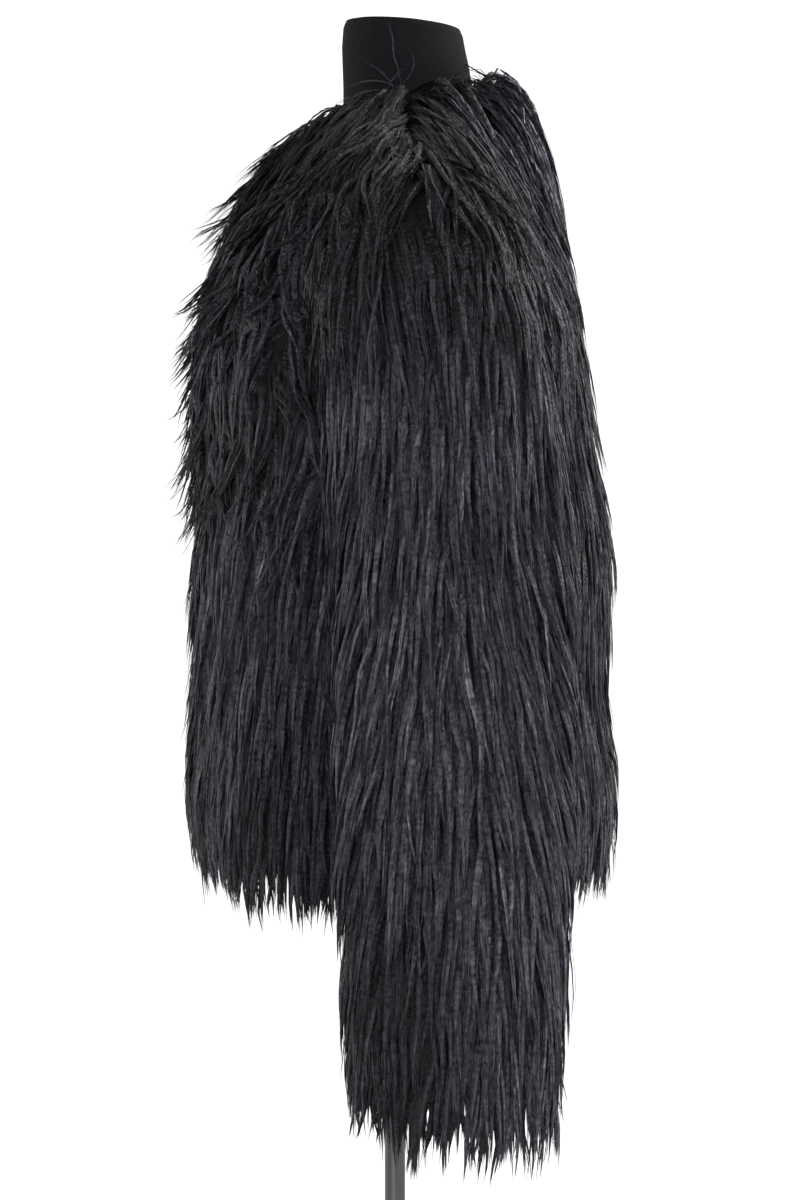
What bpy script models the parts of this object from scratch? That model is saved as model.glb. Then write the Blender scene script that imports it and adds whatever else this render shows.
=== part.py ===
"""A short, collarless faux fur coat on a limbless dress form with a pole and a round base.

Metres, +Z up. The origin is on the floor under the pole. The coat's front faces -Y and the
wearer's left sleeve is at +X. Each panel of the coat is a wall as thick as the cloth with its
long pile lying on it, and the panels stay a hair apart at their seams.
"""

import bpy
import numpy as np

# Cloth
WALL = 0.012  # knitted backing with the pile as it lies
SEAM_GAP = 0.0003
SQUARENESS = 2.5  # power of the superellipse that the body's sections follow

# The coat's key points, on the outer face of the pile
FRONT_HEM = 0.917
SIDE_HEM = 0.893
BACK_HEM = 0.905
FRONT_NECK = 1.456
NAPE = 1.485
NECK_SHOULDER = (0.060, 0.010, 1.476)
SHOULDER_POINT = (0.187, 0.012, 1.414)
UNDERARM = (0.199, 0.012, 1.222)
ARMHOLE_FRONT = -0.056
ARMHOLE_BACK = 0.080

# Body, by height: how far the front, the back and the side stand from the axis
BODY_SECTIONS = {
    "height": (0.900, 0.960, 1.030, 1.135, 1.215, 1.260, 1.330, 1.375, 1.415, 1.440, 1.456, 1.485),
    "front": (0.139, 0.150, 0.147, 0.145, 0.148, 0.149, 0.139, 0.124, 0.098, 0.069, 0.048, 0.030),
    "back": (0.152, 0.161, 0.154, 0.158, 0.147, 0.141, 0.133, 0.123, 0.111, 0.102, 0.096, 0.070),
    "side": (0.205, 0.205, 0.200, 0.197, 0.198, 0.196, 0.190, 0.188, 0.187, 0.187, 0.187, 0.187),
}

# Left sleeve, from the armhole to the cuff: the outer and inner side's place, front and back reach
SLEEVE_SECTIONS = {
    "outer_x": (0.187, 0.225, 0.260, 0.286, 0.301, 0.305, 0.302, 0.297, 0.290),
    "outer_z": (1.414, 1.404, 1.366, 1.300, 1.205, 1.090, 0.960, 0.840, 0.742),
    "inner_x": (0.199, 0.206, 0.210, 0.212, 0.213, 0.213, 0.214, 0.215, 0.216),
    "inner_z": (1.222, 1.206, 1.186, 1.158, 1.115, 1.045, 0.940, 0.834, 0.742),
    "front_y": (-0.056, -0.055, -0.053, -0.050, -0.046, -0.042, -0.038, -0.035, -0.028),
    "back_y": (0.080, 0.088, 0.099, 0.110, 0.119, 0.124, 0.121, 0.114, 0.105),
}
SLEEVE_SQUARENESS = 2.3
SLEEVE_CORE = 0.62  # the share of a section's depth that its wall's directions fan out from

# The largest folds. Body: place across a half panel, depth (a ridge is negative), width, top
BODY_FOLDS = (
    {"across": 0.30, "depth": 0.0040, "width": 0.10, "top": 0.55},
    {"across": 0.52, "depth": -0.0035, "width": 0.12, "top": 0.62},
    {"across": 0.78, "depth": 0.0050, "width": 0.10, "top": 0.70},
)
# Sleeve: turns round from the outer side towards the front, at the top and the bottom of the fold
SLEEVE_FOLDS = (
    {"turn_top": 0.20, "turn_end": 0.13, "top": 0.30, "end": 0.95, "depth": 0.0045, "width": 0.045},
    {"turn_top": 0.06, "turn_end": -0.06, "top": 0.38, "end": 0.9, "depth": -0.0040, "width": 0.06},
    {"turn_top": -0.06, "turn_end": -0.20, "top": 0.3, "end": 0.8, "depth": 0.0050, "width": 0.05},
)

# Grids. The armhole's steps are shared by the panels and the sleeve
PANEL_COLUMNS = 10
NECK_COLUMNS = 4  # columns of a half panel that end at the neckline, the others at the shoulder
SKIRT_ROWS = 10
ARMHOLE_ROWS = 10
SLEEVE_ROWS = 16
UNDERARM_ROW = (UNDERARM[2] - FRONT_HEM) / (FRONT_NECK - FRONT_HEM)  # share of the height
TOP_BLEND = 0.70  # share of the height above which a panel turns towards its neckline
ARMHOLE_TURN = np.radians(35)  # how much less than a quarter turn the rows make at the top
CORE_SHARE = (0.45, 0.25, 1.0)  # place of the core that the body's wall directions point at
CORE_TOP = 1.33  # above this height those directions turn upwards
SEAM_TURN = 0.5  # share of the sleeve over which its outer line moves back to its middle
FOLD_FADE = 3.0  # how steeply a sleeve's fold fades in and out

# Dress form, by height
FORM_SIDE_Y = 0.010
FORM_SECTIONS = {
    "height": (0.955, 0.958, 0.985, 1.085, 1.170, 1.245, 1.320, 1.370, 1.395),
    "front": (0.074, 0.078, 0.084, 0.070, 0.086, 0.108, 0.092, 0.070, 0.054),
    "back": (0.094, 0.098, 0.104, 0.086, 0.090, 0.094, 0.098, 0.090, 0.076),
    "side": (0.138, 0.142, 0.148, 0.118, 0.132, 0.146, 0.158, 0.166, 0.166),
    "squareness": (2.3, 2.3, 2.3, 2.3, 2.3, 2.2, 2.2, 2.0, 1.8),
}
FORM_SHOULDER = {
    "height": (1.410, 1.420, 1.430, 1.440, 1.450),
    "front": (0.046, 0.043, 0.041, 0.040, 0.039),
    "back": (0.070, 0.066, 0.063, 0.061, 0.060),
    "squareness": (1.45, 1.32, 1.26, 1.20, 1.25),
}
FORM_SLACK = (0.0, 0.0004, 0.0014, 0.0065, 0.0150)  # each shoulder section's extra room
FORM_NECK = {
    "height": (1.462, 1.480, 1.510, 1.524, 1.529, 1.530),
    "front": (0.038, 0.038, 0.039, 0.038, 0.036, 0.031),
    "back": (0.059, 0.057, 0.052, 0.050, 0.048, 0.043),
    "side": (0.050, 0.047, 0.046, 0.045, 0.043, 0.038),
    "squareness": (2.0, 2.1, 2.1, 2.1, 2.1, 2.1),
}
FORM_CLEARANCE = 0.0009  # between the form's shoulders and the coat that rests on them
FORM_COLUMNS = 28

# Stand
POLE_RADIUS = 0.0075
PLATE_RADIUS = 0.030
PLATE_THICKNESS = 0.008
BASE_RADIUS = 0.170
BASE_THICKNESS = 0.008
HUB_RADIUS = 0.020
HUB_TOP = 0.034
BASE_EDGE = 0.0015
FIT_GAP = 0.0003
ROUND_STEPS = 40


def clear_scene():
    for thing in list(bpy.data.objects):
        bpy.data.objects.remove(thing)


def plain_material(name, colour, roughness, metallic=0.0):
    material = bpy.data.materials.new(name)
    material.use_nodes = True
    shader = material.node_tree.nodes["Principled BSDF"]
    shader.inputs["Base Color"].default_value = (*colour, 1.0)
    shader.inputs["Roughness"].default_value = roughness
    shader.inputs["Metallic"].default_value = metallic
    return material


def smooth_through(knots, values, at):
    """Cubic pieces through a table's rows, each row's slope being that of its neighbours."""
    knots = np.asarray(knots, float)
    values = np.asarray(values, float)
    slopes = np.gradient(values, knots)
    at = np.clip(at, knots[0], knots[-1])
    row = np.clip(np.searchsorted(knots, at, side="right") - 1, 0, len(knots) - 2)
    step = knots[row + 1] - knots[row]
    t = (at - knots[row]) / step
    start = values[row] * (1 + 2 * t) * (1 - t) ** 2 + step * slopes[row] * t * (1 - t) ** 2
    end = values[row + 1] * t * t * (3 - 2 * t) - step * slopes[row + 1] * t * t * (1 - t)
    return start + end


def ease(x):
    x = np.clip(x, 0.0, 1.0)
    return x * x * (3 - 2 * x)


def power_sine(angle, squareness):
    return np.abs(np.sin(angle)) ** (2 / squareness)


def power_cosine(angle, squareness):
    return np.abs(np.cos(angle)) ** (2 / squareness)


def armhole_curve(share):
    """The armhole from the underarm (0) to the shoulder point (1), in one slanted plane.

    Returns how far it has risen, as a share of the way, and how far it has swung out towards
    the front or the back, as a share of its reach there.
    """
    angle = np.pi * (1 - share)
    risen = (1 + np.sign(np.cos(angle)) * power_cosine(angle, SLEEVE_SQUARENESS)) / 2
    return risen, power_sine(angle, SLEEVE_SQUARENESS)


def outer_edge(rows, reach):
    """A panel's side seam and then its armhole edge, one point for each row."""
    skirt = np.clip(rows / UNDERARM_ROW, 0, 1)
    risen, swing = armhole_curve(np.clip((rows - UNDERARM_ROW) / (1 - UNDERARM_ROW), 0, 1))
    height = np.where(
        rows < UNDERARM_ROW,
        SIDE_HEM + (UNDERARM[2] - SIDE_HEM) * skirt,
        UNDERARM[2] + (SHOULDER_POINT[2] - UNDERARM[2]) * risen,
    )
    heights, sides = BODY_SECTIONS["height"], BODY_SECTIONS["side"]
    to_underarm = UNDERARM[0] - smooth_through(heights, sides, UNDERARM[2])
    on_seam = smooth_through(heights, sides, height) + to_underarm * ease(skirt)
    on_armhole = UNDERARM[0] + (SHOULDER_POINT[0] - UNDERARM[0]) * risen
    x = np.where(rows < UNDERARM_ROW, on_seam, on_armhole)
    y = UNDERARM[1] + (reach - UNDERARM[1]) * swing * (rows >= UNDERARM_ROW)
    return np.stack([x, y, height], axis=-1)


def centre_edge(rows, hem, neck, side_name, way):
    """The middle line of the front or the back, from the hem to the neckline."""
    height = hem + (neck - hem) * rows
    y = way * smooth_through(BODY_SECTIONS["height"], BODY_SECTIONS[side_name], height)
    return np.stack([np.zeros_like(height), y, height], axis=-1)


def top_edge(columns, middle):
    """The neckline's quarter ellipse, then the straight shoulder seam."""
    neck_share = NECK_COLUMNS / PANEL_COLUMNS
    turn = np.clip(columns / neck_share, 0, 1) * np.pi / 2
    on_neck = np.stack([
        NECK_SHOULDER[0] * np.sin(turn),
        NECK_SHOULDER[1] + (middle[1] - NECK_SHOULDER[1]) * np.cos(turn),
        middle[2] + (NECK_SHOULDER[2] - middle[2]) * np.sin(turn) ** 2,
    ], axis=-1)
    along = np.clip((columns - neck_share) / (1 - neck_share), 0, 1)[:, None]
    on_shoulder = np.array(NECK_SHOULDER) * (1 - along) + np.array(SHOULDER_POINT) * along
    return np.where((columns <= neck_share)[:, None], on_neck, on_shoulder)


def inward(points):
    """Unit directions into the coat's body: away from a core along the middle of its inside."""
    core = points * np.array(CORE_SHARE)
    core[..., 2] = np.minimum(points[..., 2], CORE_TOP)
    away = points - core
    return -away / np.linalg.norm(away, axis=-1, keepdims=True)


def body_folds(across, rows):
    """Depth of the skirt's soft folds, which run up from the hem and fade out."""
    depth = np.zeros(np.broadcast(across, rows).shape)
    for fold in BODY_FOLDS:
        trough = np.exp(-((across - fold["across"]) / fold["width"]) ** 2)
        depth += fold["depth"] * trough * (1 - ease(rows / fold["top"]))
    return depth * np.sin(np.pi * across) ** 0.5


def half_panel(side_name):
    """The left half of the front or the back: rows from the hem up, columns from the middle out.

    Each row is an arc of a superellipse from the middle line to the side seam or armhole. Near
    the top the rows lean over to the neckline and the shoulder seam.
    """
    front = side_name == "front"
    rows = np.concatenate([
        np.linspace(0, UNDERARM_ROW, SKIRT_ROWS + 1),
        np.linspace(UNDERARM_ROW, 1, ARMHOLE_ROWS + 1)[1:],
    ])
    columns = np.linspace(0, 1, PANEL_COLUMNS + 1)
    hem, neck, way, reach = (
        (FRONT_HEM, FRONT_NECK, -1, ARMHOLE_FRONT) if front else (BACK_HEM, NAPE, 1, ARMHOLE_BACK)
    )
    middle = centre_edge(rows, hem, neck, side_name, way)[:, None, :]
    outer = outer_edge(rows, reach)[:, None, :]
    above_arm = ease((rows - UNDERARM_ROW) / (1 - UNDERARM_ROW))[:, None]
    last = np.pi / 2 - ARMHOLE_TURN * above_arm
    angle = columns[None, :] * last
    full = power_cosine(last, SQUARENESS)
    sideways = power_sine(angle, SQUARENESS) / power_sine(last, SQUARENESS)
    forwards = (power_cosine(angle, SQUARENESS) - full) / (1 - full)
    level = ease(columns)[None, :]
    grid = np.stack([
        outer[..., 0] * sideways,
        outer[..., 1] + (middle[..., 1] - outer[..., 1]) * forwards,
        middle[..., 2] + (outer[..., 2] - middle[..., 2]) * level,
    ], axis=-1)
    lean = top_edge(columns, middle[-1, 0]) - grid[-1]
    grid += lean[None, :, :] * ease((rows - TOP_BLEND) / (1 - TOP_BLEND))[:, None, None]
    grid += inward(grid) * body_folds(columns[None, :], rows[:, None])[..., None]
    grid[..., 1] += way * SEAM_GAP / 2
    return grid


def mirrored(grid):
    return grid * np.array([-1.0, 1.0, 1.0])


def sleeve_grid():
    """The left sleeve: rows from the armhole to the cuff, columns once round it.

    Each section is a superellipse between the outer and the inner side, as deep as the table
    says. A turn of 0 is the outer side, and the turn runs forwards.
    """
    along = np.linspace(0, 1, SLEEVE_ROWS + 1)
    knots = np.linspace(0, 1, len(SLEEVE_SECTIONS["outer_x"]))
    size = {name: smooth_through(knots, values, along)[:, None]
            for name, values in SLEEVE_SECTIONS.items()}
    turn = np.arange(2 * ARMHOLE_ROWS) / (2 * ARMHOLE_ROWS)
    angle = 2 * np.pi * turn[None, :]
    risen = (1 + np.sign(np.cos(angle)) * power_cosine(angle, SLEEVE_SQUARENESS)) / 2
    swing = power_sine(angle, SLEEVE_SQUARENESS)
    seam_y = UNDERARM[1] + (np.mean([size["front_y"], size["back_y"]], axis=0)
                            - UNDERARM[1]) * ease(along / SEAM_TURN)[:, None]
    reach = np.where(np.sin(angle) > 0, size["front_y"], size["back_y"])
    grid = np.stack([
        size["inner_x"] + (size["outer_x"] - size["inner_x"]) * risen,
        seam_y + (reach - seam_y) * swing,
        size["inner_z"] + (size["outer_z"] - size["inner_z"]) * risen,
    ], axis=-1)
    grid += sleeve_inward(grid) * sleeve_folds(turn[None, :], along[:, None])[..., None]
    grid[..., 0] += SEAM_GAP
    return grid


def sleeve_inward(grid):
    """Unit directions into the sleeve, in each section's own plane."""
    middle = grid.mean(axis=1, keepdims=True)
    away = grid - middle
    away[..., 1] *= 1 - SLEEVE_CORE
    return -away / np.linalg.norm(away, axis=-1, keepdims=True)


def sleeve_folds(turn, along):
    """Depth of the sleeve's long, slanting folds."""
    depth = np.zeros(np.broadcast(turn, along).shape)
    for fold in SLEEVE_FOLDS:
        share = (along - fold["top"]) / (fold["end"] - fold["top"])
        place = fold["turn_top"] + (fold["turn_end"] - fold["turn_top"]) * share
        distance = (turn - place + 0.5) % 1.0 - 0.5
        fade = ease(share * FOLD_FADE) * ease((1 - share) * FOLD_FADE)
        depth += fold["depth"] * np.exp(-((distance / fold["width"]) ** 2)) * fade
    return depth


def wall(name, outer, inner, material, closed=False, flipped=False):
    """A closed wall between two grids of the same size. A closed one is a tube."""
    rows, columns = outer.shape[:2]
    count = rows * columns

    def number(row, column):
        return row * columns + column % columns

    faces = []
    for row in range(rows - 1):
        for column in range(columns if closed else columns - 1):
            corners = (number(row, column), number(row, column + 1),
                       number(row + 1, column + 1), number(row + 1, column))
            faces.append(corners)
            faces.append(tuple(count + c for c in reversed(corners)))
    rims = [[number(0, c) for c in range(columns)], [number(rows - 1, c) for c in range(columns)]]
    if closed:
        rims = [rim + [rim[0]] for rim in rims]
    else:
        right = [number(r, columns - 1) for r in range(rows)]
        left = [number(r, 0) for r in range(rows)]
        rims = [rims[0] + right[1:] + rims[1][::-1][1:] + left[::-1][1:]]
    for turn, rim in enumerate(rims):
        for a, b in zip(rim, rim[1:]):
            side = (b, a, count + a, count + b)
            faces.append(side if turn == 0 else side[::-1])
    if flipped:
        faces = [face[::-1] for face in faces]
    mesh = bpy.data.meshes.new(name)
    points = np.concatenate([outer.reshape(-1, 3), inner.reshape(-1, 3)])
    mesh.from_pydata(points.tolist(), [], faces)
    return add_object(name, mesh, material)


def add_object(name, mesh, material):
    mesh.shade_smooth()
    mesh.set_sharp_from_angle(angle=np.radians(50))
    mesh.materials.append(material)
    thing = bpy.data.objects.new(name, mesh)
    bpy.context.scene.collection.objects.link(thing)
    return thing


def make_coat():
    fur = plain_material("faux_fur", (0.032, 0.029, 0.036), 0.75)
    front = half_panel("front")
    front_in = front + inward(front) * WALL
    edge = np.array([SEAM_GAP / 2, 0.0, 0.0])
    left, left_in = front.copy(), front_in.copy()
    left[:, 0] += edge
    left_in[:, 0] += edge
    wall("left_front", left, left_in, fur)
    wall("right_front", mirrored(left), mirrored(left_in), fur, flipped=True)

    half = half_panel("back")
    whole = np.concatenate([half[:, ::-1], mirrored(half)[:, 1:]], axis=1)
    wall("back", whole, whole + inward(whole) * WALL, fur)

    sleeve = sleeve_grid()
    sleeve_in = sleeve + sleeve_inward(sleeve) * WALL
    wall("left_sleeve", sleeve, sleeve_in, fur, closed=True)
    wall("right_sleeve", mirrored(sleeve), mirrored(sleeve_in), fur, closed=True, flipped=True)


def turned(name, profile, material, steps=ROUND_STEPS):
    """A solid turned round the Z axis from a profile of (radius, height), bottom to top."""
    angle = np.arange(steps) * 2 * np.pi / steps
    ring = np.stack([np.cos(angle), np.sin(angle)], axis=-1)
    points = [(r * c, r * s, z) for r, z in profile for c, s in ring]
    faces = []
    for row in range(len(profile) - 1):
        for step in range(steps):
            following = (step + 1) % steps
            faces.append((row * steps + step, row * steps + following,
                          (row + 1) * steps + following, (row + 1) * steps + step))
    faces.append(tuple(range(steps))[::-1])
    faces.append(tuple((len(profile) - 1) * steps + step for step in range(steps)))
    mesh = bpy.data.meshes.new(name)
    mesh.from_pydata(points, [], faces)
    return add_object(name, mesh, material)


def coat_inner_shoulder(height):
    """How far out the underside of the shoulder seam is at a height."""
    ends = np.array([NECK_SHOULDER, SHOULDER_POINT])
    ends = ends + inward(ends) * WALL
    return np.interp(height, ends[::-1, 2], ends[::-1, 0])


def make_form():
    """The dress form: superellipse sections from its flat underside to the top of its neck."""
    cloth = plain_material("form_jersey", (0.006, 0.006, 0.007), 0.85)
    shoulder = dict(FORM_SHOULDER)
    heights = np.array(shoulder["height"])
    under_seam = coat_inner_shoulder(heights + FORM_CLEARANCE) - FORM_CLEARANCE
    shoulder["side"] = tuple(under_seam - np.array(FORM_SLACK))
    table = {key: np.array(FORM_SECTIONS[key] + shoulder[key] + FORM_NECK[key])
             for key in FORM_SECTIONS}
    angle = np.arange(FORM_COLUMNS) * 2 * np.pi / FORM_COLUMNS
    squareness = table["squareness"][:, None]
    sideways = np.sign(np.cos(angle)) * power_cosine(angle, squareness)
    depth = np.sign(np.sin(angle)) * power_sine(angle, squareness)
    reach = np.where(depth < 0, table["front"][:, None] + FORM_SIDE_Y,
                     table["back"][:, None] - FORM_SIDE_Y)
    grid = np.stack([
        table["side"][:, None] * sideways,
        FORM_SIDE_Y + reach * depth,
        table["height"][:, None] + np.zeros_like(depth),
    ], axis=-1)
    faces = []
    last = (len(table["height"]) - 1) * FORM_COLUMNS
    for start in range(0, last, FORM_COLUMNS):
        for step in range(FORM_COLUMNS):
            following = (step + 1) % FORM_COLUMNS
            faces.append((start + step, start + following, start + FORM_COLUMNS + following,
                          start + FORM_COLUMNS + step))
    faces.append(tuple(range(FORM_COLUMNS))[::-1])
    faces.append(tuple(last + step for step in range(FORM_COLUMNS)))
    mesh = bpy.data.meshes.new("dress_form")
    mesh.from_pydata(grid.reshape(-1, 3).tolist(), [], faces)
    return add_object("dress_form", mesh, cloth)


def make_stand():
    metal = plain_material("stand_metal", (0.34, 0.34, 0.35), 0.38, 1.0)
    plate_top = FORM_SECTIONS["height"][0] - FIT_GAP
    plate_bottom = plate_top - PLATE_THICKNESS
    turned("form_plate", [(PLATE_RADIUS, plate_bottom), (PLATE_RADIUS, plate_top)], metal)
    turned("pole", [(POLE_RADIUS, HUB_TOP + FIT_GAP), (POLE_RADIUS, plate_bottom - FIT_GAP)],
           metal, steps=24)
    turned("base", [
        (BASE_RADIUS - BASE_EDGE, 0.0),
        (BASE_RADIUS, BASE_EDGE),
        (BASE_RADIUS, BASE_THICKNESS - BASE_EDGE),
        (BASE_RADIUS - BASE_EDGE, BASE_THICKNESS),
        (HUB_RADIUS, BASE_THICKNESS),
        (HUB_RADIUS, HUB_TOP - BASE_EDGE),
        (HUB_RADIUS - BASE_EDGE, HUB_TOP),
    ], metal, steps=48)


clear_scene()
make_coat()
make_form()
make_stand()
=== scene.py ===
"""Looks of a short faux fur coat on a dress form: knitted shells, long crimped locks, black jersey
form, satin steel stand, plain pale studio.

Metres, +Z up, coat front at -Y, wearer's left at +X, as in the frame.
"""

from types import SimpleNamespace

import bpy
import numpy as np
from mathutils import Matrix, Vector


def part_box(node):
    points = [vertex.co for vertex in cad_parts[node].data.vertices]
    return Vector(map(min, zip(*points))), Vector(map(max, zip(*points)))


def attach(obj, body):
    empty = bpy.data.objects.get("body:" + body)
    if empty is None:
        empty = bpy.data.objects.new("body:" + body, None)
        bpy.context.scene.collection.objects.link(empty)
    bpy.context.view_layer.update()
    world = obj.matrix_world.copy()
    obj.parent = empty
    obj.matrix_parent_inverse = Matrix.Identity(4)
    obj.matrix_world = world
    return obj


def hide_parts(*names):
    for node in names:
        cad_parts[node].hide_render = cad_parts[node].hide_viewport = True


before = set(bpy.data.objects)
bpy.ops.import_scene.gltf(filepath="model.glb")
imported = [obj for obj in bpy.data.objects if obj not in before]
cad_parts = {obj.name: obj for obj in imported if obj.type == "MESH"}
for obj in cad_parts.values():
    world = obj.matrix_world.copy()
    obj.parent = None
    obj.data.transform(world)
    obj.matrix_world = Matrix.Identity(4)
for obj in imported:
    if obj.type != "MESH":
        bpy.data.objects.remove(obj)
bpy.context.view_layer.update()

# ---- the coat's and the form's sizes
WALL = 0.012
BACKING = 0.0022  # knitted backing, on the wall's inner side
SQUARENESS = 2.5
SLEEVE_SQUARENESS = 2.3
SLEEVE_CORE = 0.62
FRONT_HEM, SIDE_HEM, BACK_HEM = 0.917, 0.893, 0.905
FRONT_NECK, NAPE = 1.456, 1.485
NECK_SHOULDER = np.array((0.060, 0.010, 1.476))
SHOULDER_POINT = np.array((0.187, 0.012, 1.414))
UNDERARM = np.array((0.199, 0.012, 1.222))
ARMHOLE_FRONT, ARMHOLE_BACK = -0.056, 0.080
NECK_SHARE = 0.4  # share of a half panel's width that ends at the neckline
UNDERARM_ROW = (UNDERARM[2] - FRONT_HEM) / (FRONT_NECK - FRONT_HEM)
TOP_BLEND = 0.70  # rows above it lean over to the neckline and the shoulder seam
ARMHOLE_TURN = np.radians(35)  # by which the top row's arc stops short of the side
CORE_SHARE, CORE_TOP = np.array((0.45, 0.25, 1.0)), 1.33  # the inside's core, for each point
SEAM_TURN = 0.5  # share of the sleeve where its seam has come to the section's middle
SEAM_GAP = 0.0003


def in_metres(**rows):
    """A table's rows, given in millimetres."""
    return {name: np.array(row) / 1000 for name, row in rows.items()}


BODY_SECTIONS = in_metres(
    height=(900, 960, 1030, 1135, 1215, 1260, 1330, 1375, 1415, 1440, 1456, 1485),
    front=(139, 150, 147, 145, 148, 149, 139, 124, 98, 69, 48, 30),
    back=(152, 161, 154, 158, 147, 141, 133, 123, 111, 102, 96, 70),
    side=(205, 205, 200, 197, 198, 196, 190, 188, 187, 187, 187, 187),
)
SLEEVE_SECTIONS = in_metres(
    outer_x=(187, 225, 260, 286, 301, 305, 302, 297, 290),
    outer_z=(1414, 1404, 1366, 1300, 1205, 1090, 960, 840, 742),
    inner_x=(199, 206, 210, 212, 213, 213, 214, 215, 216),
    inner_z=(1222, 1206, 1186, 1158, 1115, 1045, 940, 834, 742),
    front_y=(-56, -55, -53, -50, -46, -42, -38, -35, -28),
    back_y=(80, 88, 99, 110, 119, 124, 121, 114, 105),
)
FORM_SIDE_Y = 0.010
FORM_SECTIONS = in_metres(
    height=(955, 958, 985, 1085, 1170, 1245, 1320, 1370, 1395, 1410,
            1420, 1430, 1440, 1450, 1462, 1480, 1510, 1524, 1529, 1530),
    front=(74, 78, 84, 70, 86, 108, 92, 70, 54, 46, 43, 41, 40, 39, 38, 38, 39, 38, 36, 31),
    back=(94, 98, 104, 86, 90, 94, 98, 90, 76, 70, 66, 63, 61, 60, 59, 57, 52, 50, 48, 43),
    side=(138, 142, 148, 118, 132, 146, 158, 166, 166, 167.5,
          146.3, 124.5, 98.6, 69.3, 50, 47, 46, 45, 43, 38),
)
FORM_SECTIONS["squareness"] = (
    [2.3] * 5 + [2.2, 2.2, 2.0, 1.8, 1.45, 1.32, 1.26, 1.2, 1.25, 2.0] + [2.1] * 5)

# ---- folds
# Across: place on a half panel, from the middle (0) to the side (1); top: where the fold ends,
# as a share of the panel's height. A ridge is negative.
BODY_FOLDS = (  # across, depth, width, top, lean
    (0.30, 0.0040, 0.10, 0.55, 0.03),
    (0.52, -0.0035, 0.12, 0.62, 0.02),
    (0.78, 0.0050, 0.10, 0.70, -0.04),
)
SLEEVE_FOLDS = (  # turn round the sleeve at the fold's top and end, top, end, depth, width
    (0.20, 0.13, 0.30, 0.95, 0.0045, 0.045),
    (0.06, -0.06, 0.38, 0.9, -0.0040, 0.06),
    (-0.06, -0.20, 0.3, 0.8, 0.0050, 0.05),
)
FOLD_FADE = 3.0

# ---- pile
CLOTH_END = 0.952  # share of a panel's length where the cloth ends; the pile hangs on below it
LOCK_STATIONS = 6
LOCKS_IN_CORD = 6
CORDS_IN_TUFT = 7
LOCK_WIDTH = (0.0013, 0.0027)
LENGTH = (0.075, 0.105)  # of a tuft, from its root in the backing
WHORL_END, WHORL_FULL = 1.17, 1.40  # heights between which the flow turns into a whorl
WHORL_MIDDLE = np.array((0.020, 0.012, 1.490))
NECK_AXIS, NECK_LEAN = (0.0, 0.010, 0.0), 0.15  # crests lean a little towards the neck
HANG = (0.002, 0.034)  # how far tufts hang past the ends of the panels
PILE_TOP = (-0.0050, 0.0030)  # height of the deepest and highest cords over the outer face
DOWN_CLOTH, AWAY_FROM_NECK = 0.25, 1.6  # pulls on a path, beside gravity's 1
SWING_SPREAD, BEND_SPREAD = 0.045, 0.08  # radians
WANDER_PITCH, WANDER_SWING = 0.20, 0.06
CLUMP, CLUMP_MOST = (0.15, 0.6), 0.92  # share by which cords close up on their tuft's path
TUFT_TOP_SPREAD = 0.0010
CORD_WAVE, CORD_BENDS = (0.0004, 0.0016), (4, 10)  # metres; radians from root to tip
MESSY_WAVE, LOOSE_WAVE = 0.3, 1.8  # more waves in messy places, and in stray or hanging cords
LOOSE_REACH, LOOSE_FADE = 0.05, 0.04  # how near the fringe's end a cord hangs loose
CORD_SPREAD = (0.0010, 0.0020)  # half the width over which a cord's locks lie
LOCK_START, LOCK_END = (-0.05, 0.08), (0.78, 1.02)  # shares of their cord's length
TWIST, TIP_TWIST = 0.35, 0.4  # of a lock about its length, radians at its root, more at its tip
STRAY_CORDS = 0.03  # share of single cords that stand out
FINE_SHARE = 0.06  # share of the locks that are fine hairs on top, painted lighter as highlights
FINE_WIDTH, FINE_RISE, FINE_HIGHLIGHT = 0.6, 0.0012, 0.10
# The layer share paints shade in the pile: cords lying deep are darker, top cords lighter.
BASE_TONE, LAYER_SHADE = 0.13, 0.42
TONE_SPREAD, TUFT_TONE_SPREAD = 0.065, 0.06
TONES, PHASES = 8, 5  # strips on the locks' map: steps of tone, each with a few phases of crimp
UV_NAME = "OFBake"
SPREAD_STEPS = (0.7548776662466927, 0.5698402909980532)  # of an even sequence over a square


def ease(x):
    x = np.clip(x, 0.0, 1.0)
    return x * x * (3 - 2 * x)


def rise(value, start, span):
    """0 up to the start and easing to 1 over the span. A negative span runs downwards."""
    return ease((value - start) / span)


def smooth_through(knots, values, at):
    """Cubic pieces through a table's rows, each row's slope being that of its neighbours."""
    slopes = np.gradient(values, knots)
    at = np.clip(at, knots[0], knots[-1])
    row = np.clip(np.searchsorted(knots, at, side="right") - 1, 0, len(knots) - 2)
    step = knots[row + 1] - knots[row]
    t = (at - knots[row]) / step
    start = values[row] * (1 + 2 * t) * (1 - t) ** 2 + step * slopes[row] * t * (1 - t) ** 2
    end = values[row + 1] * t * t * (3 - 2 * t) - step * slopes[row + 1] * t * t * (1 - t)
    return start + end


def boxy(value, squareness):
    """A circle's sine or cosine, bent to a superellipse's."""
    return np.sign(value) * np.abs(value) ** (2 / squareness)


def unit(vectors):
    return vectors / np.maximum(np.linalg.norm(vectors, axis=-1, keepdims=True), 1e-9)


def dot(a, b):
    return (a * b).sum(-1, keepdims=True)


def blend(a, b, share):
    return a + (b - a) * share


def stacked(*parts):
    """Coordinates or corners, broadcast together and stacked along a new last axis."""
    return np.stack(np.broadcast_arrays(*parts), axis=-1)


def mirror(points):
    return points * (-1.0, 1.0, 1.0)


def each(values):
    """One value for each lock or cord, shaped to go with paths."""
    return values[:, None, None]


# ---- the coat's surfaces
def body_size(name, height):
    return smooth_through(BODY_SECTIONS["height"], BODY_SECTIONS[name], height)


def sleeve_section(angle):
    """A superellipse, from its outer side: how far it has risen (0 to 1) and swung out."""
    risen = (1 + boxy(np.cos(angle), SLEEVE_SQUARENESS)) / 2
    return risen, boxy(np.abs(np.sin(angle)), SLEEVE_SQUARENESS)


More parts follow.
